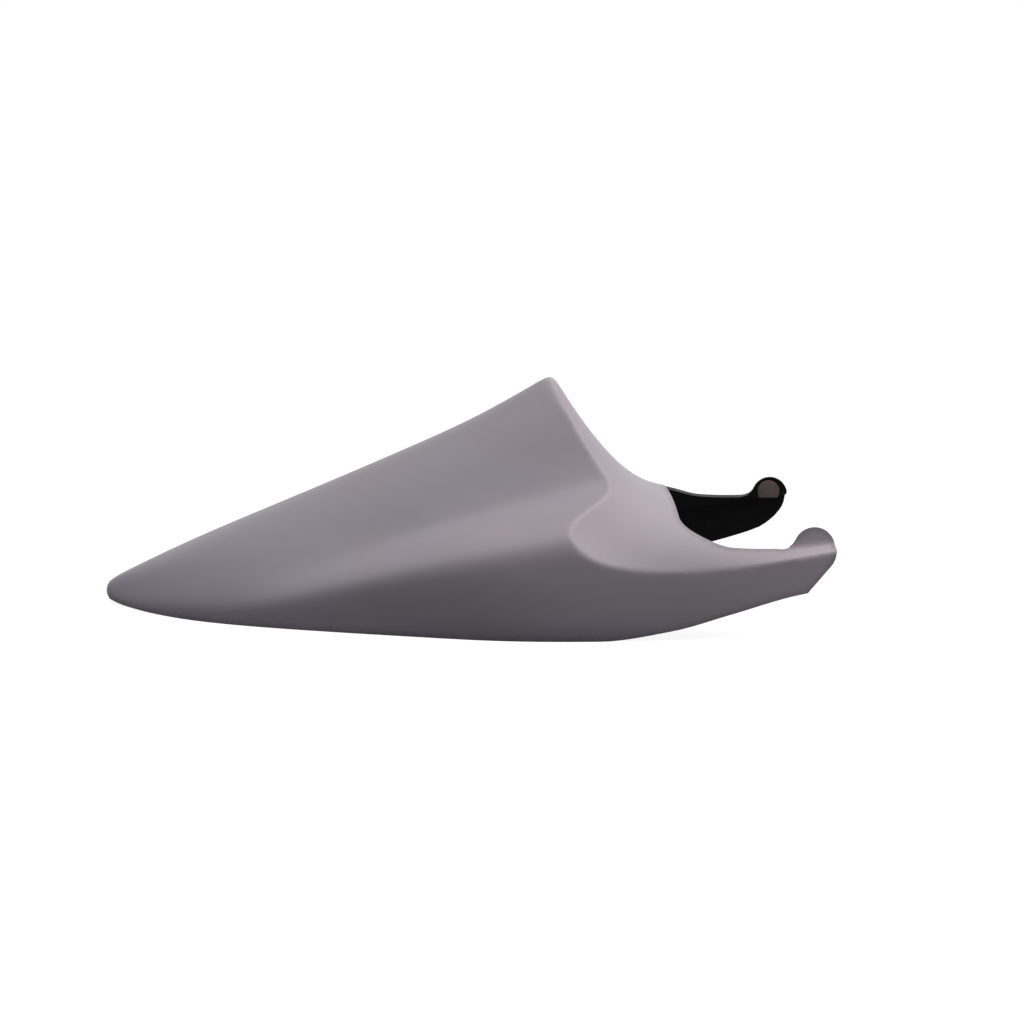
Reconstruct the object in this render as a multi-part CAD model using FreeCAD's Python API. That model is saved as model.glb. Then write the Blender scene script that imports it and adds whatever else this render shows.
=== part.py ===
"""Motorcycle tail fairing: one thin moulded shell with a seat hump, two shoulders and two front arms.

Millimetres. +X points forward, +Y to the left and +Z up. The origin is the middle of the
length, on the centre plane, at the level of the flat lower rim that the shell stands on.
Stations are distances ahead of the tail tip.
"""
import FreeCAD, Part
import os

Vector = FreeCAD.Vector

# Overall sizes, how far a cutting form reaches past the body, and how near counts as touching
LENGTH = 722.0
WALL = 3.0
REACH = 500.0
TOUCH = 0.1

# Lines along the moulded body, each a list of (station, height or half-width)
RIDGE_HEIGHT = [(12, 25), (60, 49), (220, 119), (380, 190), (415, 208), (440, 224), (480, 251), (800, 450)]
HUMP_HALF = [(12, 11), (60, 34), (120, 51), (200, 67), (320, 67), (440, 59), (520, 53), (800, 38)]
VALLEY_HALF = [(12, 15), (60, 46), (120, 70), (200, 86), (320, 84), (440, 80), (800, 72)]
VALLEY_HEIGHT = [(12, 18), (60, 27), (120, 37), (200, 48), (320, 86), (440, 118), (520, 138), (800, 190)]
CREST_HALF = [(12, 18), (60, 53), (120, 81), (200, 102), (320, 129), (440, 147), (500, 148), (600, 144),
              (800, 140)]
CREST_HEIGHT = [(12, 11), (60, 14), (120, 19), (200, 35), (320, 70), (440, 100), (520, 119), (800, 170)]
RIM_HALF = [(12, 16), (60, 53), (120, 82), (200, 104), (320, 130), (440, 150), (500, 149), (600, 145),
            (800, 140)]
KEEL_DEPTH = [(12, 4), (60, 14), (120, 26), (200, 45), (320, 60), (800, 60)]

# Section shape: where the control points lie, as shares of the widths and heights above
KEEL_WIDTH = 0.6
FLANK_DROP = 0.5
FLANK_FOOT = 0.25
FLANK_SHOULDER = 0.7
FLANK_BULGE = 1.0
BAND_MIDDLE = 0.65
HUMP_FOOT_INSET = 0.4
HUMP_FOOT_RISE = 0.14
HUMP_WAIST_RISE = 0.5
HUMP_SHOULDER_WIDTH = 0.8
HUMP_SHOULDER_RISE = 0.82
HUMP_TOP_WIDTH = 0.4
BODY_STATIONS = [12, 40, 90, 150, 210, 270, 330, 390, 450, 510, 570, 630, 690, 750]

# Plainly rounded section of the tail, as shares of the rim's half-width and the ridge's height, and the
# stations between which it changes into the formed section
TAIL_ROUND = [(1.0, 0.05), (1.0, 0.12), (0.99, 0.21), (0.945, 0.32), (0.865, 0.45), (0.76, 0.61),
              (0.635, 0.78), (0.46, 0.94), (0.2, 1.0), (0.0, 1.0)]
TAIL_END = 120.0
BAND_START = 250.0

# The tail tip, where the body's sections shrink towards one point
NOSE_HEIGHT = 13.0
NOSE_SCALES = [0.08, 0.62]

# Seat scoop: heights of its surface along the centre plane and at two half-widths
SCOOP_CENTRE = [(430, 287), (470, 218), (500, 175), (530, 141), (560, 119), (590, 110), (640, 105),
                (800, 105)]
SCOOP_SHOULDER = [(430, 190), (470, 134), (490, 112), (510, 100), (540, 97), (600, 96), (660, 90),
                  (700, 90), (800, 100)]
SCOOP_EDGE = [(430, 157), (470, 99), (490, 82), (510, 75), (538, 69), (576, 65), (613, 65), (660, 72),
              (720, 87), (800, 103)]
SHOULDER_HALF = 122.0
ARCH_POWER = 2.7
EDGE_HALF = 148.0
SCOOP_STATIONS = [430, 450, 470, 485, 500, 515, 530, 550, 575, 605, 640, 680, 720, 800]
SCOOP_HALVES = [0, 35, 70, 95, 112, 125, 137, 148, 160, 200]
CREASE_EASING = 3.0

# Inner form of the mould: flats across a half section, sections along, and the first one's place on the net
LINER_FLATS = 34
LINER_SECTIONS = 16
LINER_START = 1.5

# Lower edge: its rise at the tail tip, then the arms' and their raked, rounded end, as (station, height)
TAIL_EDGE = [(0, 6), (25, 2.2), (60, 0.6), (110, 0)]
ARM_EDGE = [(500, 0), (568, 9.5), (624, 25.5), (680, 42.5), (696, 46)]
ARM_END = [(715, 69.5), (720.3, 77.5), (722, 87)]
ARM_EDGE_SLOPE = 0.2

# Seat opening in plan
OPENING_STATION = 580.0
OPENING_HALF = 131.0
OPENING_RADIUS = 45.0

# Ears at the arms' ends, each with a round pad on its inner face
EAR_STATION = 702.0
EAR_HEIGHT = 87.5
EAR_RADIUS = 18.5
EAR_INNER = 127.5
EAR_WALL = 4.0
EAR_FOOT = 84.0
EAR_FOOT_TOP = 87.0
EAR_FOOT_REAR = 660.0
EAR_ROOT_RADIUS = 15.0
PAD_STATION = 701.0
PAD_HEIGHT = 91.0
PAD_RADIUS = 12.0
PAD_STEP = 1.5


def value_at(line, station):
    """Height or half-width of a line at a station, by a smooth curve through its points."""
    count = len(line)
    gaps = [line[i + 1][0] - line[i][0] for i in range(count - 1)]
    rises = [(line[i + 1][1] - line[i][1]) / gaps[i] for i in range(count - 1)]
    slopes = [rises[0]] + [0.0] * (count - 2) + [rises[-1]]
    for i in range(1, count - 1):
        if rises[i - 1] * rises[i] > 0:
            slopes[i] = 2 * rises[i - 1] * rises[i] / (rises[i - 1] + rises[i])
    i = 0
    while i < count - 2 and station > line[i + 1][0]:
        i += 1
    t = (station - line[i][0]) / gaps[i]
    return (
        line[i][1] * (1 + 2 * t) * (1 - t) ** 2
        + line[i + 1][1] * t * t * (3 - 2 * t)
        + gaps[i] * t * (1 - t) * (slopes[i] * (1 - t) - slopes[i + 1] * t)
    )


def side_point(station, height):
    """Point of the centre plane."""
    return Vector(station - LENGTH / 2, 0, height)


def half_section(station):
    """Control points (y, z) of one half of the body's section, from the keel round to the ridge."""
    ridge = value_at(RIDGE_HEIGHT, station)
    hump_y = value_at(HUMP_HALF, station)
    valley_y = value_at(VALLEY_HALF, station)
    valley_z = value_at(VALLEY_HEIGHT, station)
    crest_y = value_at(CREST_HALF, station)
    crest_z = value_at(CREST_HEIGHT, station)
    rim_y = value_at(RIM_HALF, station)
    keel = value_at(KEEL_DEPTH, station)
    hump = ridge - valley_z
    formed = [
        (0.0, -keel),
        (KEEL_WIDTH * rim_y, -keel),
        (rim_y, -FLANK_DROP * keel),
        (rim_y, FLANK_FOOT * crest_z),
        ((rim_y + crest_y) / 2 + FLANK_BULGE, FLANK_SHOULDER * crest_z),
        (crest_y, crest_z),
        (crest_y + BAND_MIDDLE * (valley_y - crest_y), crest_z + BAND_MIDDLE * (valley_z - crest_z)),
        (valley_y, valley_z),
        (valley_y + HUMP_FOOT_INSET * (hump_y - valley_y), valley_z + HUMP_FOOT_RISE * hump),
        (hump_y, valley_z + HUMP_WAIST_RISE * hump),
        (HUMP_SHOULDER_WIDTH * hump_y, valley_z + HUMP_SHOULDER_RISE * hump),
        (HUMP_TOP_WIDTH * hump_y, ridge),
        (0.0, ridge),
    ]
    plain = formed[:3] + [(rim_y * across, ridge * up) for across, up in TAIL_ROUND]
    share = min(1.0, max(0.0, (station - TAIL_END) / (BAND_START - TAIL_END)))
    share = share * share * (3 - 2 * share)
    return [(a + share * (c - a), b + share * (d - b)) for (a, b), (c, d) in zip(plain, formed)]


def section_row(station, half, scale=1.0):
    """One closed row of control points, up the right half and down the left half."""
    sized = [(scale * y, NOSE_HEIGHT + scale * (z - NOSE_HEIGHT)) for y, z in half]
    right = [Vector(station - LENGTH / 2, -y, z) for y, z in sized]
    left = [Vector(point.x, -point.y, point.z) for point in reversed(right[:-1])]
    return right + left


def net_surface(rows):
    """Smooth surface drawn over a net of control points."""
    knots = [list(range(len(line) - 2)) for line in (rows, rows[0])]
    mults = [[4] + [1] * (len(line) - 2) + [4] for line in knots]
    surface = Part.BSplineSurface()
    surface.buildFromPolesMultsKnots(rows, mults[0], mults[1], knots[0], knots[1], False, False, 3, 3)
    return surface


def body_skin():
    """Outer skin of the moulded body, closed round its length from the tail tip to past the arms."""
    rows = [section_row(0, half_section(BODY_STATIONS[0]), scale) for scale in NOSE_SCALES]
    rows += [section_row(station, half_section(station)) for station in BODY_STATIONS]
    return net_surface(rows)


def body(skin):
    """Solid inside the skin, before anything is cut from it."""
    caps = [Part.Face(Part.Wire(skin.uIso(end).toShape())) for end in skin.bounds()[:2]]
    shell = Part.makeShell([skin.toShape()] + caps)
    shell.sewShape()
    return Part.Solid(shell)


def body_liner(skin):
    """Solid that fills the hollow inside the body, a wall's thickness in from each section."""
    last_span, first_turn, last_turn = skin.bounds()[1:]
    flats = 2 * LINER_FLATS
    wires = []
    for i in range(LINER_SECTIONS):
        span = LINER_START + (last_span - LINER_START) * i / (LINER_SECTIONS - 1)
        section = skin.uIso(span)
        points = []
        for k in range(flats):
            turn = first_turn + (last_turn - first_turn) * k / flats
            along = section.tangent(turn)[0]
            points.append(section.value(turn) + Vector(0, along.z, -along.y) * WALL)
        wires.append(Part.makePolygon(points + points[:1]))
    return Part.makeLoft(wires, True)


def scoop_height(station, half):
    """Height of the seat scoop's surface: a low arch that falls away steeply past its shoulder."""
    centre = value_at(SCOOP_CENTRE, station)
    shoulder = value_at(SCOOP_SHOULDER, station)
    edge = value_at(SCOOP_EDGE, station)
    if half <= SHOULDER_HALF:
        return centre - (centre - shoulder) * (half / SHOULDER_HALF) ** ARCH_POWER
    span = EDGE_HALF - SHOULDER_HALF
    slope = -ARCH_POWER * (centre - shoulder) / SHOULDER_HALF
    bend = (edge - shoulder - slope * span) / span ** 2
    over = half - SHOULDER_HALF
    if half <= EDGE_HALF:
        return shoulder + slope * over + bend * over ** 2
    return edge + (slope + 2 * bend * span) * (half - EDGE_HALF)


def scoop_rows():
    """Control points of the seat scoop, one row across for each station."""
    halves = [-half for half in reversed(SCOOP_HALVES[1:])] + SCOOP_HALVES
    rows = []
    for station in SCOOP_STATIONS:
        rows.append([side_point(station, scoop_height(station, abs(y))) + Vector(0, y, 0) for y in halves])
    return rows


def scoop(surface):
    """Everything above the seat scoop's surface."""
    return surface.toShape().extrude(Vector(0, 0, REACH))


def scoop_liner(surface):
    """Everything above the scoop's inner side, a wall's thickness under its surface."""
    first, last, left, right = surface.bounds()
    wires = []
    for span in range(int(first), int(last) + 1):
        points = []
        for k in range(LINER_FLATS + 1):
            across = left + (right - left) * k / LINER_FLATS
            normal = surface.normal(span, across)
            points.append(surface.value(span, across) - Vector(0, 0, WALL / abs(normal.z)))
        top = [Vector(point.x, point.y, REACH) for point in (points[-1], points[0])]
        wires.append(Part.makePolygon(points + top + points[:1]))
    return Part.makeLoft(wires, True)


def outer_form(skin, surface):
    """The body with the scoop cut out and the crease between them eased."""
    form = body(skin).cut(scoop(surface))
    spread = [edge.BoundBox.XLength * edge.BoundBox.YLength * edge.BoundBox.ZLength for edge in form.Edges]
    crease = form.Edges[spread.index(max(spread))]
    return form.makeChamfer(CREASE_EASING, [crease])


def below_rim():
    """Everything under the flat rim, under the arms' rising lower edges and ahead of their raked ends."""
    tail = Part.BSplineCurve()
    tail.interpolate([side_point(*corner) for corner in TAIL_EDGE])
    lower = Part.BSplineCurve()
    lower.interpolate([side_point(*corner) for corner in ARM_EDGE], InitialTangent=Vector(1, 0, 0),
                      FinalTangent=Vector(1, 0, ARM_EDGE_SLOPE))
    rake = Part.LineSegment(side_point(*ARM_EDGE[-1]), side_point(*ARM_END[0]))
    end = Part.Arc(*[side_point(*corner) for corner in ARM_END])
    front = side_point(*ARM_END[-1])
    far = 2 * REACH
    tip = side_point(*TAIL_EDGE[0])
    outside = Part.makePolygon([front, Vector(front.x, 0, far), Vector(far, 0, far), Vector(far, 0, -far),
                                Vector(-far, 0, -far), Vector(-far, 0, tip.z), tip])
    rim = Part.LineSegment(side_point(*TAIL_EDGE[-1]), side_point(*ARM_EDGE[0]))
    inside = [curve.toShape() for curve in (tail, rim, lower, rake, end)]
    face = Part.Face(Part.Wire(inside + outside.Edges))
    face.translate(Vector(0, -REACH, 0))
    return face.extrude(Vector(0, 2 * REACH, 0))


def seat_opening():
    """The gap between the arms, a wide U seen from above, cut straight down."""
    rear = OPENING_STATION - LENGTH / 2
    block = Part.makeBox(REACH, 2 * OPENING_HALF, REACH, Vector(rear, -OPENING_HALF, 0))
    corners = [edge for edge in block.Edges
               if edge.BoundBox.ZLength > TOUCH and edge.BoundBox.XMax < rear + TOUCH]
    return block.makeFillet(OPENING_RADIUS, corners)


def left_ear():
    """Upstanding round tab at the end of the left arm, with a flat round pad on its inner face."""
    x = EAR_STATION - LENGTH / 2
    rear = EAR_FOOT_REAR - LENGTH / 2
    outward = Vector(0, 1, 0)
    disc = Part.makeCylinder(EAR_RADIUS, EAR_WALL, Vector(x, EAR_INNER, EAR_HEIGHT), outward)
    foot = Part.makeBox(x - rear, EAR_WALL, EAR_FOOT_TOP - EAR_FOOT, Vector(rear, EAR_INNER, EAR_FOOT))
    tab = disc.fuse(foot)
    root = [edge for edge in tab.Edges if abs(edge.BoundBox.YLength - EAR_WALL) < TOUCH
            and abs(edge.BoundBox.ZMin - EAR_FOOT_TOP) < TOUCH and edge.BoundBox.XMin > rear + TOUCH]
    tab = tab.makeFillet(EAR_ROOT_RADIUS, root)
    pad_x = PAD_STATION - LENGTH / 2
    pad = Part.makeCylinder(PAD_RADIUS, PAD_STEP, Vector(pad_x, EAR_INNER - PAD_STEP, PAD_HEIGHT), outward)
    below = Part.makeBox(REACH, REACH, EAR_FOOT)
    return tab.fuse(pad).cut(below)


def tail_shell():
    """The whole moulding: outer form less its hollow, trimmed at the rim and the seat, with its ears."""
    skin = body_skin()
    surface = net_surface(scoop_rows())
    hollow = body_liner(skin).cut(scoop_liner(surface))
    shell = outer_form(skin, surface).cut([hollow, below_rim(), seat_opening()])
    ear = left_ear()
    return shell.fuse([ear, ear.mirror(Vector(0, 0, 0), Vector(0, 1, 0))]).removeSplitter()


os.makedirs("parts", exist_ok=True)
tail_shell().exportStep("parts/tail_shell.step")
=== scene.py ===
"""Dresses the tail fairing: a soft-creased grey moulding, black laminate inside, on a white floor."""
import math

import bpy
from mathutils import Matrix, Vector
from mathutils.kdtree import KDTree


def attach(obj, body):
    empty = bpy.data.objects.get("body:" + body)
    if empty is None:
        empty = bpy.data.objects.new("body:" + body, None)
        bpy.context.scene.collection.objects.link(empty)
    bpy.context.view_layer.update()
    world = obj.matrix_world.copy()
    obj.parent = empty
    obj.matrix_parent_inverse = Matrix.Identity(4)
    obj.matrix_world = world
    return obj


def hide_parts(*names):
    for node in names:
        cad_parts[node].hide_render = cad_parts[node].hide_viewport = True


bl_info = {
    "name": "Tail fairing dresser",
    "version": (1, 0, 0),
    "blender": (4, 5, 0),
    "location": "3D View > Sidebar > Tail fairing",
    "description": "Builds the dressed tail fairing shell and its studio around the CAD frame",
    "category": "Object",
}

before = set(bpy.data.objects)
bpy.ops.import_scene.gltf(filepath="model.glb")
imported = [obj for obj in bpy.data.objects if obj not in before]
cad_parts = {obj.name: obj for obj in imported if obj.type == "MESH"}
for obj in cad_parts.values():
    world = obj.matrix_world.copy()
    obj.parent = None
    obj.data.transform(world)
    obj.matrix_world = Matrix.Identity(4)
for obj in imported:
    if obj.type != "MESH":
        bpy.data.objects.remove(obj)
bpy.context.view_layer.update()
NODE = "tail_shell"
LENGTH = 0.722
MM = 0.001

# Places of the materials on the shell
GELCOAT, LAMINATE, EDGE, PAD = range(4)

# Lines along the body, as (mm ahead of the tail tip, mm up or out)
RIDGE_HEIGHT = [(12, 27.5), (60, 51), (220, 119.5), (380, 190), (415, 208), (440, 224), (480, 251),
                (800, 450)]
HUMP_HALF = [(12, 11), (60, 34), (120, 51), (200, 67), (320, 67), (440, 59), (520, 53), (800, 38)]
VALLEY_HALF = [(12, 15), (60, 46), (120, 70), (200, 86), (320, 84), (440, 80), (800, 72)]
VALLEY_HEIGHT = [(12, 18), (60, 27), (120, 37), (200, 48), (320, 86), (440, 118), (520, 138), (800, 190)]
CREST_HALF = [(12, 18), (60, 53), (120, 81), (200, 102), (320, 129), (440, 147), (500, 148), (600, 144),
              (800, 140)]
CREST_HEIGHT = [(12, 11), (60, 14), (120, 19), (200, 35), (320, 70), (440, 100), (520, 119), (800, 170)]
RIM_HALF = [(12, 16), (60, 53), (120, 82), (200, 104), (320, 130), (440, 150), (500, 149), (600, 145),
            (800, 140)]
KEEL_DEPTH = [(12, 4), (60, 14), (120, 26), (200, 45), (320, 60), (800, 60)]
BODY_STATIONS = [12, 40, 90, 150, 210, 270, 330, 390, 450, 510, 570, 630, 690, 750]

# Section shape: where the control points lie, as shares of the widths and heights above
KEEL_WIDTH = 0.6
FLANK_DROP = 0.5
FLANK_FOOT = 0.25
FLANK_SHOULDER = 0.7
FLANK_BULGE = 1.0
BAND_MIDDLE = 0.65
HUMP_FOOT_INSET = 0.6
HUMP_FOOT_RISE = 0.14
HUMP_WAIST_WIDTH = 0.94
HUMP_WAIST_RISE = 0.5
HUMP_SHOULDER_WIDTH = 0.67
HUMP_SHOULDER_RISE = 0.81
HUMP_TOP_WIDTH = 0.3

# Plainly rounded section of the tail, as shares of the rim's half-width and the ridge's height, and the
# stations between which it changes into the formed section
TAIL_ROUND = [(1.0, 0.05), (1.0, 0.12), (0.99, 0.21), (0.945, 0.32), (0.865, 0.45), (0.76, 0.61),
              (0.635, 0.78), (0.46, 0.94), (0.2, 1.0), (0.0, 1.0)]
TAIL_END = 120
BAND_START = 250

# The tail tip, where the first section shrinks towards one point
NOSE_START = -4
NOSE_HEIGHT = 17
NOSE_SCALES = [0.06, 0.44]

# Seat scoop, in the same millimetres: heights on the centre plane and at two half-widths
SCOOP_CENTRE = [(430, 287), (470, 218), (500, 175), (530, 141), (560, 119), (590, 110), (640, 105),
                (800, 105)]
SCOOP_SHOULDER = [(430, 190), (470, 134), (490, 112), (510, 100), (540, 97), (600, 96), (660, 90),
                  (700, 90), (800, 100)]
SCOOP_EDGE = [(430, 157), (470, 99), (490, 82), (510, 75), (538, 69), (576, 65), (613, 65), (660, 72),
              (720, 87), (800, 103)]
SHOULDER_HALF = 122
ARCH_POWER = 2.7
EDGE_HALF = 148
SCOOP_STATIONS = [430, 450, 470, 485, 500, 515, 530, 550, 575, 605, 640, 680, 720, 800]
SCOOP_HALVES = [0, 35, 70, 95, 112, 125, 137, 148, 160, 200]

# Trim line: the lower edge from behind the tail tip to its last point on the right (-1) and left (1) arm,
# the arms' ends, sharper on the right than on the left, and round the ears to their roots
LOWER_EDGE = [(-40, 9), (0, 6), (25, 2.2), (60, 0.6), (110, 0), (500, 0), (568, 9.5), (624, 25.5),
              (680, 42.5)]
EDGE_LAST = {-1: (696, 46), 1: (694, 48)}
ARM_END = {-1: [(715, 69.5), (718.2, 73.6), (720.3, 77.5), (721.4, 82)],
           1: [(701, 52.5), (706, 56.4), (711, 61.2), (715.5, 66.6), (718.8, 72), (720.6, 77), (721.4, 82)]}
EAR_CENTRE = (702.8, 87.5)
EAR_RADIUS = 19.0
EAR_ROOT_CENTRE = (671.8, 101.2)
EAR_ROOT_RADIUS = 15.0
EAR_TANGENT = 156.2
EAR_REAR = [(660, 86.6), (652, 88.5), (646, 94)]
EAR_STEPS = 30
EAR_ROOT_STEPS = 10

# The tools that trim: steps along the lower edge, and how far they reach past the shell
TRIM_STEP = 4
TRIM_REAR = 640
TRIM_FRONT = 900
TRIM_BOTTOM = -200
TRIM_TOP = 400
TRIM_WIDTH = 250
TRIM_OVERLAP = 1
SCOOP_TOP = 0.5
OPENING_BLOCK = 0.5
OPENING_STEPS = 16

# Fins that the ears are trimmed from, and the rubbed pads on their inner faces
EAR_FACE = 131.4
FIN_OUTLINE = [(671, 60), (671, 125), (745, 125), (745, 60)]
FIN_DEPTH = 30.0
PAD_CENTRE = (701, 91)
PAD_RADIUS = 12.0
PAD_ARC = (215.7, -35.7)
PAD_INNER = 126.0
PAD_DEPTH = 4.0
PAD_EDGE = 0.6
PAD_STEPS = 30
PAD_EDGE_STEPS = 3
PAD_EDGE_ANGLE = math.radians(50)

# Facets of the drawn surfaces, and how near counts as one point, in metres
NET_STEPS = 8
BODY_MERGE = 0.0002
TRIM_MERGE = 0.0003
SHARP_ANGLE = math.radians(42)

# How far one smoothing pass moves a point towards its neighbours' middle
SMOOTH_SHARE = 0.5

# Bend of the skin at which a fold starts to get its painted highlight, and how fast that highlight then gets
# paler
FOLD_HIGHLIGHT_START = 0.03
FOLD_HIGHLIGHT_GAIN = 10

# Studio: where the lights aim, the floor's side and its glow where the camera sees it
AIM = Vector((0.1, -0.03, 0.1))
FLOOR_SIZE = 40
FLOOR_GLOW = 1.2
FLOOR_GLOW_SHARE = 0.75


def value_at(line, station):
    """Height or half-width of a line at a station, by a smooth curve through its points."""
    count = len(line)
    gaps = [line[i + 1][0] - line[i][0] for i in range(count - 1)]
    rises = [(line[i + 1][1] - line[i][1]) / gaps[i] for i in range(count - 1)]
    slopes = [rises[0]] + [0.0] * (count - 2) + [rises[-1]]
    for i in range(1, count - 1):
        if rises[i - 1] * rises[i] > 0:
            slopes[i] = 2 * rises[i - 1] * rises[i] / (rises[i - 1] + rises[i])
    i = 0
    while i < count - 2 and station > line[i + 1][0]:
        i += 1
    t = (station - line[i][0]) / gaps[i]
    return (
        line[i][1] * (1 + 2 * t) * (1 - t) ** 2
        + line[i + 1][1] * t * t * (3 - 2 * t)
        + gaps[i] * t * (1 - t) * (slopes[i] * (1 - t) - slopes[i + 1] * t)
    )


def place(station, across, up):
    """Point of the frame, in metres, from millimetres ahead of the tail tip, to the left and up."""
    return Vector((station * MM - LENGTH / 2, across * MM, up * MM))


def between(first, second, share):
    """Number that lies a share of the way from the first to the second."""
    return (1 - share) * first + share * second


def smooth(share):
    """A share from 0 to 1, eased at both ends."""
    share = min(1.0, max(0.0, share))
    return share * share * (3 - 2 * share)


def half_section(station):
    """Control points (across, up) of half the body's section, from the keel round to the ridge."""
    ridge, hump_y, valley_y, valley_z, crest_y, crest_z, rim_y, keel = [
        value_at(line, station) for line in (RIDGE_HEIGHT, HUMP_HALF, VALLEY_HALF, VALLEY_HEIGHT,
                                             CREST_HALF, CREST_HEIGHT, RIM_HALF, KEEL_DEPTH)]
    hump = ridge - valley_z
    formed = [
        (0.0, -keel),
        (KEEL_WIDTH * rim_y, -keel),
        (rim_y, -FLANK_DROP * keel),
        (rim_y, FLANK_FOOT * crest_z),
        (between(rim_y, crest_y, 0.5) + FLANK_BULGE, FLANK_SHOULDER * crest_z),
        (crest_y, crest_z),
        (between(crest_y, valley_y, BAND_MIDDLE), between(crest_z, valley_z, BAND_MIDDLE)),
        (valley_y, valley_z),
        (between(hump_y, valley_y, HUMP_FOOT_INSET), valley_z + HUMP_FOOT_RISE * hump),
        (HUMP_WAIST_WIDTH * hump_y, valley_z + HUMP_WAIST_RISE * hump),
        (HUMP_SHOULDER_WIDTH * hump_y, valley_z + HUMP_SHOULDER_RISE * hump),
        (HUMP_TOP_WIDTH * hump_y, ridge),
        (0.0, ridge),
    ]
    plain = formed[:3] + [(rim_y * across, ridge * up) for across, up in TAIL_ROUND]
    share = smooth((station - TAIL_END) / (BAND_START - TAIL_END))
    return [(between(a, c, share), between(b, d, share)) for (a, b), (c, d) in zip(plain, formed)]


def body_row(station, half, scale=1.0):
    """One closed row of control points, up the right half and down the left half."""
    sized = [(scale * y, NOSE_HEIGHT + scale * (z - NOSE_HEIGHT)) for y, z in half]
    right = [place(station, -y, z) for y, z in sized]
    left = [place(station, y, z) for y, z in sized[:-1]]
    return right + left[::-1]


def scoop_height(station, half):
    """Height of the seat scoop: a low arch that falls away steeply past its shoulder."""
    centre, shoulder, edge = [value_at(line, station)
                              for line in (SCOOP_CENTRE, SCOOP_SHOULDER, SCOOP_EDGE)]
    if half <= SHOULDER_HALF:
        return centre - (centre - shoulder) * (half / SHOULDER_HALF) ** ARCH_POWER
    span = EDGE_HALF - SHOULDER_HALF
    slope = -ARCH_POWER * (centre - shoulder) / SHOULDER_HALF
    bend = (edge - shoulder - slope * span) / span ** 2
    over = half - SHOULDER_HALF
    if half <= EDGE_HALF:
        return shoulder + slope * over + bend * over ** 2
    return edge + (slope + 2 * bend * span) * (half - EDGE_HALF)


def arc(centre, radius, start, end, count):
    """Points (station, height) along an arc, angles in degrees."""
    angles = [math.radians(start + (end - start) * i / count) for i in range(count + 1)]
    station, height = centre
    return [(station + radius * math.cos(angle), height + radius * math.sin(angle)) for angle in angles]


def pick(*pieces):
    """Select only these pieces, the first one active."""
    bpy.ops.object.select_all(action="DESELECT")
    for piece in pieces:
        piece.select_set(True)
    bpy.context.view_layer.objects.active = pieces[0]


def apply(piece, kind, **settings):
    """Add a modifier to a piece and apply it."""
    pick(piece)
    bpy.ops.object.modifier_add(type=kind)
    modifier = piece.modifiers[-1]
    for name, value in settings.items():
        setattr(modifier, name, value)
    bpy.ops.object.modifier_apply(modifier=modifier.name)


def choose(piece, kind, test):
    """Enter edit mode with only those edges or faces of a piece selected that pass a test."""
    pick(piece)
    bpy.ops.object.mode_set(mode="EDIT")
    bpy.ops.mesh.select_mode(type=kind)
    bpy.ops.mesh.select_all(action="DESELECT")
    bpy.ops.object.mode_set(mode="OBJECT")
    for element in piece.data.edges if kind == "EDGE" else piece.data.polygons:
        element.select = test(element)
    bpy.ops.object.mode_set(mode="EDIT")


def carve(piece, tool):
    """Cut a tool's form out of a piece and throw the tool away."""
    apply(piece, "BOOLEAN", operation="DIFFERENCE", solver="MANIFOLD", object=tool)
    bpy.data.objects.remove(tool)


def net_surface(name, rows):
    """Mesh of the smooth surface that a net of control points draws."""
    curve = bpy.data.curves.new(name, "SURFACE")
    curve.dimensions = "3D"
    for row in rows:
        spline = curve.splines.new("NURBS")
        spline.points.add(len(row) - 1)
        for point, spot in zip(spline.points, row):
            point.co = (*spot, 1.0)
            point.select = True
    piece = bpy.data.objects.new(name, curve)
    bpy.context.scene.collection.objects.link(piece)
    pick(piece)
    bpy.ops.object.mode_set(mode="EDIT")
    bpy.ops.curve.make_segment()
    bpy.ops.object.mode_set(mode="OBJECT")
    spline = curve.splines[0]
    spline.order_u = spline.order_v = 4
    spline.use_endpoint_u = spline.use_endpoint_v = True
    spline.resolution_u = spline.resolution_v = NET_STEPS
    bpy.ops.object.convert(target="MESH")
    return bpy.context.view_layer.objects.active


def flat_shape(name, outline, thickness):
    """Plate from an outline in one plane, pushed through by its thickness."""
    mesh = bpy.data.meshes.new(name)
    mesh.from_pydata(outline, [], [list(range(len(outline)))])
    piece = bpy.data.objects.new(name, mesh)
    bpy.context.scene.collection.objects.link(piece)
    pick(piece)
    bpy.ops.object.mode_set(mode="EDIT")
    bpy.ops.mesh.select_all(action="SELECT")
    bpy.ops.mesh.extrude_region_move(TRANSFORM_OT_translate={"value": thickness})
    bpy.ops.mesh.select_all(action="SELECT")
    bpy.ops.mesh.normals_make_consistent(inside=False)
    bpy.ops.object.mode_set(mode="OBJECT")
    return piece


def body_form():
    """Closed form of the moulded body, before the scoop is cut."""
    rows = [body_row(NOSE_START, half_section(BODY_STATIONS[0]), scale) for scale in NOSE_SCALES]
    rows += [body_row(station, half_section(station)) for station in BODY_STATIONS]
    body = net_surface("tail_body", rows)
    bpy.ops.object.mode_set(mode="EDIT")
    bpy.ops.mesh.select_all(action="SELECT")
    bpy.ops.mesh.remove_doubles(threshold=BODY_MERGE)
    bpy.ops.mesh.fill_holes(sides=0)
    bpy.ops.mesh.select_all(action="SELECT")
    bpy.ops.mesh.normals_make_consistent(inside=False)
    bpy.ops.object.mode_set(mode="OBJECT")
    return body


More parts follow.
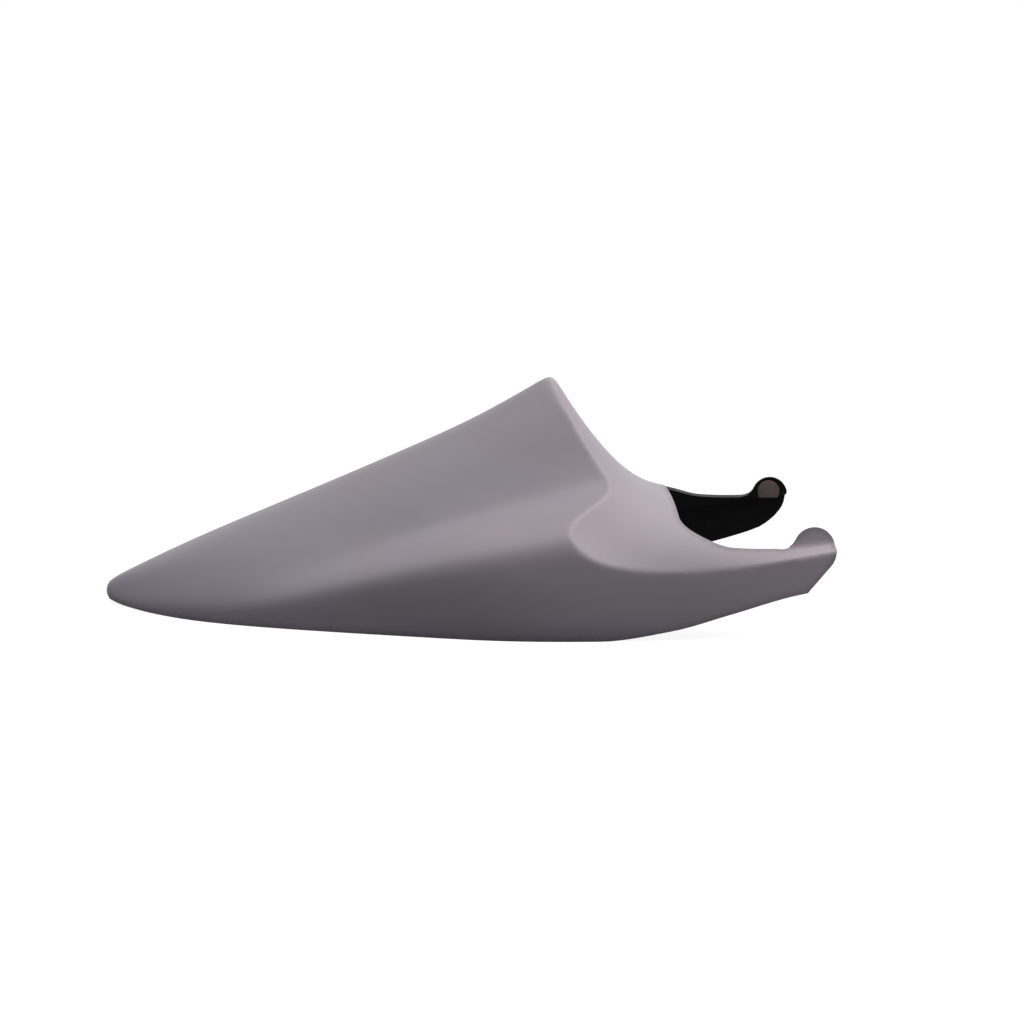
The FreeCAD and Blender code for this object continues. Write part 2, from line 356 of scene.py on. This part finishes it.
def scoop_form():
    """Everything above the seat scoop's surface."""
    halves = [-half for half in reversed(SCOOP_HALVES[1:])] + SCOOP_HALVES
    rows = [[place(station, half, scoop_height(station, abs(half))) for half in halves]
            for station in SCOOP_STATIONS]
    scoop = net_surface("seat_scoop", rows)
    bpy.ops.object.mode_set(mode="EDIT")
    bpy.ops.mesh.select_all(action="SELECT")
    bpy.ops.mesh.extrude_region_move(TRANSFORM_OT_translate={"value": (0, 0, SCOOP_TOP)})
    bpy.ops.mesh.select_all(action="SELECT")
    bpy.ops.mesh.normals_make_consistent(inside=False)
    bpy.ops.object.mode_set(mode="OBJECT")
    return scoop


def below_rim(side):
    """Everything outside one side's trim line: under the lower edge, ahead of the arm and above the ear."""
    first = LOWER_EDGE[0][0]
    edge = [entry for entry in LOWER_EDGE if entry[0] < EDGE_LAST[side][0]] + [EDGE_LAST[side]]
    length = edge[-1][0] - first
    count = int(length) // TRIM_STEP
    stations = [first + length * i / count for i in range(count + 1)]
    line = [(station, value_at(edge, station)) for station in stations] + ARM_END[side]
    line += arc(EAR_CENTRE, EAR_RADIUS, 0, EAR_TANGENT, EAR_STEPS)
    line += arc(EAR_ROOT_CENTRE, EAR_ROOT_RADIUS, EAR_TANGENT - 180, -90, EAR_ROOT_STEPS)
    line += EAR_REAR + [(TRIM_REAR, TRIM_TOP), (TRIM_FRONT, TRIM_TOP), (TRIM_FRONT, TRIM_BOTTOM),
                        (first, TRIM_BOTTOM)]
    points = [place(x, -side * TRIM_OVERLAP, z) for x, z in line]
    return flat_shape("below_rim", points, (0, side * TRIM_WIDTH * MM, 0))


def ear_fin(side):
    """Block that stands up at the end of one arm, for the ear to be trimmed from."""
    points = [place(x, side * EAR_FACE, z) for x, z in FIN_OUTLINE]
    return flat_shape("ear_fin", points, (0, -side * FIN_DEPTH * MM, 0))


def opening_block(settings):
    """The gap between the arms, a wide U seen from above."""
    rear, half, size = settings.opening_rear, settings.opening_half, OPENING_BLOCK
    bpy.ops.object.select_all(action="DESELECT")
    bpy.ops.mesh.primitive_cube_add(size=1, location=(rear + size / 2, 0, size / 2),
                                    scale=(size, 2 * half, size))
    block = bpy.context.view_layer.objects.active
    bpy.ops.object.transform_apply(location=True, rotation=False, scale=True)

    def upright_at_rear(edge):
        ends = [block.data.vertices[corner].co for corner in edge.vertices]
        return max(end.x for end in ends) < rear + size / 2 and abs(ends[0].z - ends[1].z) > size / 2

    choose(block, "EDGE", upright_at_rear)
    bpy.ops.mesh.bevel(offset=settings.opening_radius, segments=OPENING_STEPS)
    bpy.ops.object.mode_set(mode="OBJECT")
    return block


class Socket:
    """A node's output socket. Python's operators on it add Math nodes."""

    def __init__(self, finish, socket):
        self.finish = finish
        self.socket = socket

    def math(self, operation, first, second=0.0):
        """Result of one Math node."""
        return self.finish.node("ShaderNodeMath", {"operation": operation}, {0: first, 1: second})

    def __add__(self, other):
        return self.math("ADD", self, other)

    def __rsub__(self, other):
        return self.math("SUBTRACT", other, self)

    def __mul__(self, other):
        return self.math("MULTIPLY", self, other)

    __radd__ = __add__
    __rmul__ = __mul__


class Finish:
    """The nodes of a material or of the world, being put together."""

    def __init__(self, owner):
        self.owner = owner
        owner.use_nodes = True
        self.tree = owner.node_tree
        self.tree.nodes.clear()

    def node(self, kind, settings=None, sockets=None, output=0):
        """Add a node with its settings, then its sockets' values or links, and give one of its outputs."""
        node = self.tree.nodes.new(kind)
        for name, value in (settings or {}).items():
            if name == "stops":
                stops = node.color_ramp.elements
                while len(stops) < len(value):
                    stops.new(0.5)
                for stop, (position, level) in zip(stops, value):
                    stop.position = position
                    stop.color = (level, level, level, 1.0)
            else:
                setattr(node, name, value)
        for name, value in (sockets or {}).items():
            if isinstance(value, Socket):
                self.tree.links.new(value.socket, node.inputs[name])
            else:
                node.inputs[name].default_value = value
        return Socket(self, node.outputs[output]) if node.outputs else None

    def coordinates(self, stretch=(1, 1, 1), turn=(0, 0, 0)):
        """Object coordinates, for a pattern that is stretched and then turned."""
        base = self.node("ShaderNodeTexCoord", output="Object")
        return self.node("ShaderNodeMapping", {"vector_type": "TEXTURE"},
                         {"Vector": base, "Scale": stretch, "Rotation": turn})

    def noise(self, spot, scale, detail=2.0, roughness=0.5):
        """Noise from 0 to 1 at so many spots per metre."""
        return self.node("ShaderNodeTexNoise", None,
                         {"Vector": spot, "Scale": scale, "Detail": detail, "Roughness": roughness})

    def ramp(self, value, *stops):
        """A value sent through a ramp of (position, level) stops."""
        return self.node("ShaderNodeValToRGB", {"stops": stops}, {"Fac": value})

    def mix(self, share, first, second):
        """Two colours mixed by a share."""
        return self.node("ShaderNodeMix", {"data_type": "RGBA"}, {0: share, 6: first, 7: second}, output=2)

    def bump(self, height):
        """Normal from a height in metres."""
        return self.node("ShaderNodeBump", None, {"Strength": 1.0, "Distance": 1.0, "Height": height})

    def surface(self, **sockets):
        """End with a Principled shader. Sockets are given by name with underscores for spaces."""
        values = {name.replace("_", " "): value for name, value in sockets.items()}
        shader = self.node("ShaderNodeBsdfPrincipled", None, values)
        self.node("ShaderNodeOutputMaterial", None, {"Surface": shader})
        return self.owner


def tint(colour, share):
    """A colour made lighter or darker by a share."""
    return [min(1.0, part * share) for part in colour[:3]] + [1.0]


def gelcoat(settings):
    """Satin grey skin: cloudy tone, grain, orange peel, painted shade low down and towards the tail, a
    painted highlight along the outward folds, and a worn edge.
    """
    finish = Finish(bpy.data.materials.new("grey_gelcoat"))
    spot = finish.coordinates()
    cloud = finish.noise(spot, 5.0, 3.0)
    grain = finish.noise(spot, 900.0, 1.0)
    peel = finish.noise(spot, 420.0, 2.0)
    wave = finish.noise(finish.coordinates((1.0, 0.5, 0.5)), 9.0, 1.0)
    edge, fold = [finish.node("ShaderNodeAttribute", {"attribute_name": name}, output="Fac")
                  for name in ("edge_wear", "fold")]
    up, ahead = [finish.node("ShaderNodeSeparateXYZ", None, {"Vector": spot}, output=axis) for axis in "ZX"]
    warmth = finish.ramp(cloud, (0.35, 0.0), (0.65, 1.0))
    toned = finish.mix(warmth, settings.gelcoat, settings.gelcoat_warm)
    speckled = finish.mix(finish.ramp(grain, (0.3, 0.06), (0.7, 0.0)), toned, tint(settings.gelcoat, 0.6))
    # Painted shade: the colour darkens and turns bluer low down and towards the tail tip, standing in for the
    # light that falls off there.
    tail = finish.ramp(0.4 - ahead, (0.4, 0.0), (0.8, 1.0))
    painted_low_shade = finish.ramp(up * 10.0 + tail * 0.6, (0.0, 1.0), (0.95, 0.0)) * (0.35 + 0.3 * cloud)
    with_painted_shade = finish.mix(painted_low_shade, speckled, settings.painted_low_shade)
    # Painted highlight: the skin turns paler along its outward folds, standing in for the glint of the lamps
    # on the rounded creases.
    painted_highlight = finish.mix(fold * 0.35, with_painted_shade, tint(settings.gelcoat_warm, 1.5))
    worn = finish.ramp(edge * (0.5 + finish.noise(spot, 140.0, 4.0)), (0.55, 0.0), (0.95, 1.0))
    colour = finish.mix(worn * 0.25, painted_highlight, settings.edge)
    rough = 0.40 + 0.10 * cloud + 0.05 * grain + 0.12 * worn
    return finish.surface(Base_Color=colour, Roughness=rough, Specular_IOR_Level=0.15,
                          Normal=finish.bump(peel * 0.00003 + wave * 0.0012))


def laminate(settings):
    """Black bare laminate: resin over short glass strands that lie every way."""
    finish = Finish(bpy.data.materials.new("black_laminate"))
    strands = 0.0
    for turn in ((0.0, 0.5, 0.3), (0.4, -0.7, 0.0), (0.0, 1.4, -0.6), (0.9, 0.1, 1.2)):
        spot = finish.coordinates((14.0, 1.0, 1.0), turn)
        strands = strands + finish.ramp(finish.noise(spot, 800.0, 1.0), (0.52, 0.0), (0.7, 1.0))
    lumps = finish.noise(finish.coordinates(), 55.0, 3.0)
    colour = finish.mix(finish.ramp(strands * 0.25, (0.1, 0.0), (0.7, 1.0)), settings.laminate,
                        tint(settings.laminate, 2.6))
    rough = 0.5 + 0.25 * lumps
    return finish.surface(Base_Color=colour, Roughness=rough, Specular_IOR_Level=0.05,
                          Normal=finish.bump(strands * 0.00006 + lumps * 0.0006))


def trimmed_edge(settings):
    """Edge sawn and rubbed down by hand: dull laminate with fine scratches along it."""
    finish = Finish(bpy.data.materials.new("trimmed_edge"))
    scratches = finish.noise(finish.coordinates((9.0, 1.0, 1.0)), 900.0, 3.0)
    blotches = finish.noise(finish.coordinates(), 90.0, 3.0)
    colour = finish.mix(finish.ramp(0.5 * scratches + 0.5 * blotches, (0.35, 0.0), (0.65, 1.0)),
                        tint(settings.edge, 0.7), tint(settings.edge, 1.3))
    return finish.surface(Base_Color=colour, Roughness=0.62 + 0.2 * blotches, IOR=1.5,
                          Normal=finish.bump(scratches * 0.00012))


def scuffed_pad(settings):
    """Round pad where the ear is rubbed flat for its bracket: grey filler with rubbing marks."""
    finish = Finish(bpy.data.materials.new("scuffed_pad"))
    rubs = finish.noise(finish.coordinates((7.0, 1.0, 1.0), (0.0, 0.6, 0.0)), 900.0, 3.0)
    blotches = finish.noise(finish.coordinates(), 70.0, 4.0)
    colour = finish.mix(finish.ramp(0.4 * rubs + 0.6 * blotches, (0.35, 0.0), (0.65, 1.0)),
                        tint(settings.pad, 0.65), tint(settings.pad, 1.35))
    return finish.surface(Base_Color=colour, Roughness=0.5 + 0.3 * rubs, IOR=1.5,
                          Normal=finish.bump(rubs * 0.00015))


def mark_edge(skin, reach):
    """Write how near each point lies to the trimmed edge, from 0 to 1, as an attribute."""
    mesh = skin.data
    uses = {}
    for face in mesh.polygons:
        for key in face.edge_keys:
            uses[key] = uses.get(key, 0) + 1
    rim = {corner for key, count in uses.items() if count == 1 for corner in key}
    tree = KDTree(len(rim))
    for corner in rim:
        tree.insert(mesh.vertices[corner].co, corner)
    tree.balance()
    near = [max(0.0, 1.0 - tree.find(vertex.co)[2] / reach) for vertex in mesh.vertices]
    mesh.attributes.new("edge_wear", "FLOAT", "POINT").data.foreach_set("value", near)


def mark_fold_highlights(skin):
    """Write how sharply the skin folds outward at each point, from 0 to 1, as an attribute for the painted
    highlight along the folds.
    """
    mesh = skin.data
    pairs = [tuple(edge.vertices) for edge in mesh.edges]
    around = [0] * len(mesh.vertices)
    bends = [0.0] * len(mesh.vertices)
    for pair in pairs:
        for here, there in (pair, pair[::-1]):
            start = mesh.vertices[here]
            bends[here] += start.normal.dot((start.co - mesh.vertices[there].co).normalized())
            around[here] += 1
    folds = [bend / max(1, count) for bend, count in zip(bends, around)]
    sums = folds[:]
    for first, second in pairs:
        sums[first] += folds[second]
        sums[second] += folds[first]
    evened = [total / (count + 1) for total, count in zip(sums, around)]
    painted_highlight = [min(1.0, max(0.0, (fold - FOLD_HIGHLIGHT_START) * FOLD_HIGHLIGHT_GAIN)) for fold in evened]
    mesh.attributes.new("fold", "FLOAT", "POINT").data.foreach_set("value", painted_highlight)


class ShellSettings(bpy.types.PropertyGroup):
    """Sizes and colours of the moulded shell."""

    wall: bpy.props.FloatProperty(
        name="Wall", description="Thickness of the laminate",
        default=0.003, min=0.001, max=0.01, unit="LENGTH")
    facet: bpy.props.FloatProperty(
        name="Facet", description="Size of the facets that draw the soft creases",
        default=0.003, min=0.002, max=0.01, unit="LENGTH")
    softness: bpy.props.IntProperty(
        name="Crease softness", description="Smoothing passes over the creases",
        default=4, min=0, max=50)
    tip_softness: bpy.props.IntProperty(
        name="Tip softness", description="Smoothing passes over the hump's peak and the tail tip",
        default=120, min=0, max=200)
    peak_reach: bpy.props.FloatProperty(
        name="Peak reach", description="How far round the peak they reach",
        default=0.080, min=0.001, max=0.2, unit="LENGTH")
    tail_reach: bpy.props.FloatProperty(
        name="Tail reach", description="How far round the tail tip they reach",
        default=0.036, min=0.001, max=0.2, unit="LENGTH")
    wear: bpy.props.FloatProperty(
        name="Edge wear", description="How far the wear reaches in from the edge",
        default=0.014, min=0.001, max=0.05, unit="LENGTH")
    opening_rear: bpy.props.FloatProperty(
        name="Opening rear", description="Where the seat opening starts",
        default=0.580 - LENGTH / 2, unit="LENGTH")
    opening_half: bpy.props.FloatProperty(
        name="Opening half-width", description="From the centre to an arm",
        default=0.1308, unit="LENGTH")
    opening_radius: bpy.props.FloatProperty(
        name="Opening corner", description="Radius of its rear corners",
        default=0.048, unit="LENGTH")
    gelcoat: bpy.props.FloatVectorProperty(
        name="Gelcoat", description="Main tone of the outer skin",
        default=(0.398, 0.372, 0.432, 1.0), size=4, min=0, max=1, subtype="COLOR")
    gelcoat_warm: bpy.props.FloatVectorProperty(
        name="Gelcoat, warm", description="Warmer clouds in the skin",
        default=(0.425, 0.378, 0.410, 1.0), size=4, min=0, max=1, subtype="COLOR")
    # Colour of the painted shade that darkens the skin low down and towards the tail.
    painted_low_shade: bpy.props.FloatVectorProperty(
        name="Road film", description="Film that thickens downwards, away from the tail",
        default=(0.118, 0.122, 0.172, 1.0), size=4, min=0, max=1, subtype="COLOR")
    laminate: bpy.props.FloatVectorProperty(
        name="Laminate", description="Resin on the inside",
        default=(0.0022, 0.0022, 0.0025, 1.0), size=4, min=0, max=1, subtype="COLOR")
    edge: bpy.props.FloatVectorProperty(
        name="Trimmed edge", description="Sawn edge of the laminate",
        default=(0.050, 0.049, 0.047, 1.0), size=4, min=0, max=1, subtype="COLOR")
    pad: bpy.props.FloatVectorProperty(
        name="Pad", description="Rubbed pads on the ears",
        default=(0.048, 0.032, 0.031, 1.0), size=4, min=0, max=1, subtype="COLOR")


class StudioSettings(bpy.types.PropertyGroup):
    """Light, floor and camera of the studio."""

    top_power: bpy.props.FloatProperty(
        name="Top light", description="Strength of the even light from overhead",
        default=1.75)
    top_place: bpy.props.FloatVectorProperty(
        name="Top light, place", description="Where it comes from",
        default=(0.1, -0.75, 2.4), size=3, subtype="TRANSLATION")
    top_spread: bpy.props.FloatProperty(
        name="Top light, spread", description="Angle that it fills",
        default=math.radians(50), subtype="ANGLE")
    front_power: bpy.props.FloatProperty(
        name="Front light", description="Power of the soft box ahead of the part",
        default=6.2, unit="POWER")
    front_place: bpy.props.FloatVectorProperty(
        name="Front light, place", description="Where the soft box stands",
        default=(0.95, -0.3, 0.75), size=3, subtype="TRANSLATION")
    front_size: bpy.props.FloatProperty(
        name="Front light, size", description="Side of the soft box",
        default=0.6, unit="LENGTH")
    light_tint: bpy.props.FloatVectorProperty(
        name="Lights, colour", description="Colour of both lights",
        default=(1.0, 0.965, 0.95), size=3, min=0, max=1, subtype="COLOR")
    sky: bpy.props.FloatProperty(
        name="Sky", description="Strength of the even light all round",
        default=0.085)
    sky_tint: bpy.props.FloatVectorProperty(
        name="Sky, colour", description="Colour of the even light",
        default=(0.74, 0.86, 1.0, 1.0), size=4, min=0, max=1, subtype="COLOR")
    floor: bpy.props.FloatVectorProperty(
        name="Floor", description="Colour that the floor throws back",
        default=(0.03, 0.03, 0.034, 1.0), size=4, min=0, max=1, subtype="COLOR")
    camera: bpy.props.FloatVectorProperty(
        name="Camera", description="Place of the camera",
        default=(0.0575, -1.550, 0.418), size=3, subtype="TRANSLATION")
    camera_tilt: bpy.props.FloatProperty(
        name="Camera tilt", description="Angle from straight down",
        default=math.radians(78.2), subtype="ANGLE")
    lens: bpy.props.FloatProperty(
        name="Lens", description="Focal length in millimetres",
        default=54.49, unit="CAMERA")


class TAIL_OT_shell(bpy.types.Operator):
    """Mould the shell: body less scoop, creases softened, trimmed and given its wall"""

    bl_idname = "tail_fairing.shell"
    bl_label = "Mould the shell"

    def execute(self, context):
        settings = context.scene.tail_shell_settings
        shell = self.mould(settings)
        self.round_tips(shell, settings)
        self.coat(shell, settings)
        self.trim(shell, settings)
        mark_edge(shell, settings.wear)
        mark_fold_highlights(shell)
        apply(shell, "SOLIDIFY", thickness=settings.wall, offset=-1.0, use_rim=True,
              material_offset=LAMINATE, material_offset_rim=EDGE)
        pick(shell)
        bpy.ops.object.shade_smooth_by_angle(angle=SHARP_ANGLE)
        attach(shell, "root")
        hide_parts(NODE)
        return {"FINISHED"}

    @staticmethod
    def mould(settings):
        """Closed form of the shell: the body less the scoop, with the ears' fins, its creases softened."""
        shell = body_form()
        carve(shell, scoop_form())
        shell.name = "moulded_shell"
        pick(shell, ear_fin(-1), ear_fin(1))
        bpy.ops.object.join()
        shell.data.remesh_voxel_size = settings.facet
        bpy.ops.object.voxel_remesh()
        apply(shell, "SMOOTH", factor=SMOOTH_SHARE, iterations=settings.softness)
        return shell

    @staticmethod
    def round_tips(shell, settings):
        """Rub the hump's peak and the tail tip rounder than the creases."""
        spots = [vertex.co.copy() for vertex in shell.data.vertices]
        peak = max(spots, key=lambda spot: spot.z)
        tail = place(NOSE_START, 0, NOSE_HEIGHT)
        group = shell.vertex_groups.new(name="tips")
        for index, spot in enumerate(spots):
            share = max(1.0 - (spot - peak).length / settings.peak_reach,
                        1.0 - (spot - tail).length / settings.tail_reach)
            if share > 0.0:
                group.add([index], share * share, "REPLACE")
        apply(shell, "SMOOTH", factor=SMOOTH_SHARE, iterations=settings.tip_softness, vertex_group=group.name)
        shell.vertex_groups.clear()

    @staticmethod
    def coat(shell, settings):
        """Give the shell its materials, with the gelcoat all over."""
        shell.data.materials.clear()
        shell.data.polygons.foreach_set("material_index", [GELCOAT] * len(shell.data.polygons))
        for maker in (gelcoat, laminate, trimmed_edge, scuffed_pad):
            shell.data.materials.append(maker(settings))

    @staticmethod
    def trim(shell, settings):
        """Cut along the trim line and round the seat opening, and leave the cuts open."""
        for tool in (below_rim(-1), below_rim(1), opening_block(settings)):
            tool.data.materials.append(shell.data.materials[EDGE])
            carve(shell, tool)
        choose(shell, "FACE", lambda face: face.material_index == EDGE)
        bpy.ops.mesh.delete(type="FACE")
        bpy.ops.mesh.select_all(action="SELECT")
        bpy.ops.mesh.remove_doubles(threshold=TRIM_MERGE)
        bpy.ops.mesh.dissolve_degenerate(threshold=TRIM_MERGE)
        bpy.ops.object.mode_set(mode="OBJECT")


class TAIL_OT_pads(bpy.types.Operator):
    """Add the rubbed pad on the inner face of each ear"""

    bl_idname = "tail_fairing.pads"
    bl_label = "Add the pads"

    def execute(self, context):
        shell = bpy.data.objects["moulded_shell"]
        pads = []
        for side in (-1, 1):
            outline = arc(PAD_CENTRE, PAD_RADIUS, *PAD_ARC, PAD_STEPS)
            points = [place(x, side * PAD_INNER, z) for x, z in outline]
            pad = flat_shape("ear_pad", points, (0, side * PAD_DEPTH * MM, 0))
            apply(pad, "BEVEL", width=PAD_EDGE * MM, segments=PAD_EDGE_STEPS, limit_method="ANGLE",
                  angle_limit=PAD_EDGE_ANGLE)
            for material in shell.data.materials:
                pad.data.materials.append(material)
            pad.data.polygons.foreach_set("material_index", [PAD] * len(pad.data.polygons))
            pads.append(pad)
        pick(shell, *pads)
        bpy.ops.object.join()
        bpy.ops.object.shade_smooth_by_angle(angle=SHARP_ANGLE)
        return {"FINISHED"}


class TAIL_OT_stage(bpy.types.Operator):
    """Set up the white floor, the soft light and the camera"""

    bl_idname = "tail_fairing.stage"
    bl_label = "Set the stage"

    def execute(self, context):
        settings = context.scene.tail_studio_settings
        scene = context.scene
        bpy.ops.object.select_all(action="DESELECT")
        bpy.ops.mesh.primitive_plane_add(size=FLOOR_SIZE)
        floor = context.view_layer.objects.active
        floor.name = "floor"
        floor.data.materials.append(self.floor_finish(settings))
        self.sky(scene, settings)
        top = self.light("top_light", "SUN", settings.top_place, settings.top_power, settings)
        top.angle = settings.top_spread
        front = self.light("front_light", "AREA", settings.front_place, settings.front_power, settings)
        front.size = settings.front_size
        bpy.ops.object.camera_add(location=settings.camera, rotation=(settings.camera_tilt, 0, 0))
        camera = context.view_layer.objects.active
        camera.data.lens = settings.lens
        scene.camera = camera
        scene.view_settings.view_transform = "Standard"
        return {"FINISHED"}

    @staticmethod
    def light(name, kind, spot, power, settings):
        """Add a lamp that aims at the part, and give its data."""
        turn = (Vector(spot) - AIM).to_track_quat("Z", "Y").to_euler()
        bpy.ops.object.light_add(type=kind, location=spot, rotation=turn)
        lamp = bpy.context.view_layer.objects.active
        lamp.name = name
        lamp.data.energy = power
        lamp.data.color = settings.light_tint
        return lamp.data

    @staticmethod
    def seen_directly(finish):
        """1 for rays from the camera, and for mirrored or refracted ones."""
        camera, glossy, through = [finish.node("ShaderNodeLightPath", output=f"Is {kind} Ray")
                                   for kind in ("Camera", "Glossy", "Transmission")]
        seen = camera + glossy + through
        return finish.node("ShaderNodeMath", {"operation": "MINIMUM"}, {0: seen, 1: 1.0})

    def floor_finish(self, settings):
        """White floor that keeps a soft shadow."""
        finish = Finish(bpy.data.materials.new("white_floor"))
        seen = self.seen_directly(finish)
        shade = finish.mix(seen, settings.floor, (0.98, 0.98, 0.98, 1.0))
        pale = finish.node("ShaderNodeBsdfDiffuse", None, {"Color": shade})
        white = finish.node("ShaderNodeEmission", None, {"Color": (1, 1, 1, 1), "Strength": FLOOR_GLOW})
        shader = finish.node("ShaderNodeMixShader", None, {0: seen * FLOOR_GLOW_SHARE, 1: pale, 2: white})
        finish.node("ShaderNodeOutputMaterial", None, {"Surface": shader})
        return finish.owner

    def sky(self, scene, settings):
        """Even light all round, white where the camera sees it."""
        scene.world = bpy.data.worlds.new("studio")
        finish = Finish(scene.world)
        seen = self.seen_directly(finish)
        strength = settings.sky + seen * (1.0 - settings.sky)
        tone = finish.mix(seen, settings.sky_tint, (1, 1, 1, 1))
        shader = finish.node("ShaderNodeBackground", None, {"Color": tone, "Strength": strength})
        finish.node("ShaderNodeOutputWorld", None, {"Surface": shader})


class TAIL_PT_panel(bpy.types.Panel):
    """Sizes, colours and steps of the tail fairing"""

    bl_idname = "TAIL_PT_panel"
    bl_label = "Tail fairing"
    bl_space_type = "VIEW_3D"
    bl_region_type = "UI"
    bl_category = "Tail fairing"

    def draw(self, context):
        layout = self.layout
        for operator in (TAIL_OT_shell, TAIL_OT_pads, TAIL_OT_stage):
            layout.operator(operator.bl_idname)
        for settings in (context.scene.tail_shell_settings, context.scene.tail_studio_settings):
            for name in settings.__annotations__:
                layout.prop(settings, name)


CLASSES = (ShellSettings, StudioSettings, TAIL_OT_shell, TAIL_OT_pads, TAIL_OT_stage, TAIL_PT_panel)


def register():
    """Add the classes and hang the settings on the scene."""
    for entry in CLASSES:
        bpy.utils.register_class(entry)
    bpy.types.Scene.tail_shell_settings = bpy.props.PointerProperty(type=ShellSettings)
    bpy.types.Scene.tail_studio_settings = bpy.props.PointerProperty(type=StudioSettings)


def unregister():
    """Take the settings and the classes away again."""
    del bpy.types.Scene.tail_studio_settings
    del bpy.types.Scene.tail_shell_settings
    for entry in reversed(CLASSES):
        bpy.utils.unregister_class(entry)


def main():
    """Build the dressed fairing and its studio."""
    register()
    bpy.ops.tail_fairing.shell()
    bpy.ops.tail_fairing.pads()
    bpy.ops.tail_fairing.stage()


if __name__ == "__main__":
    main()
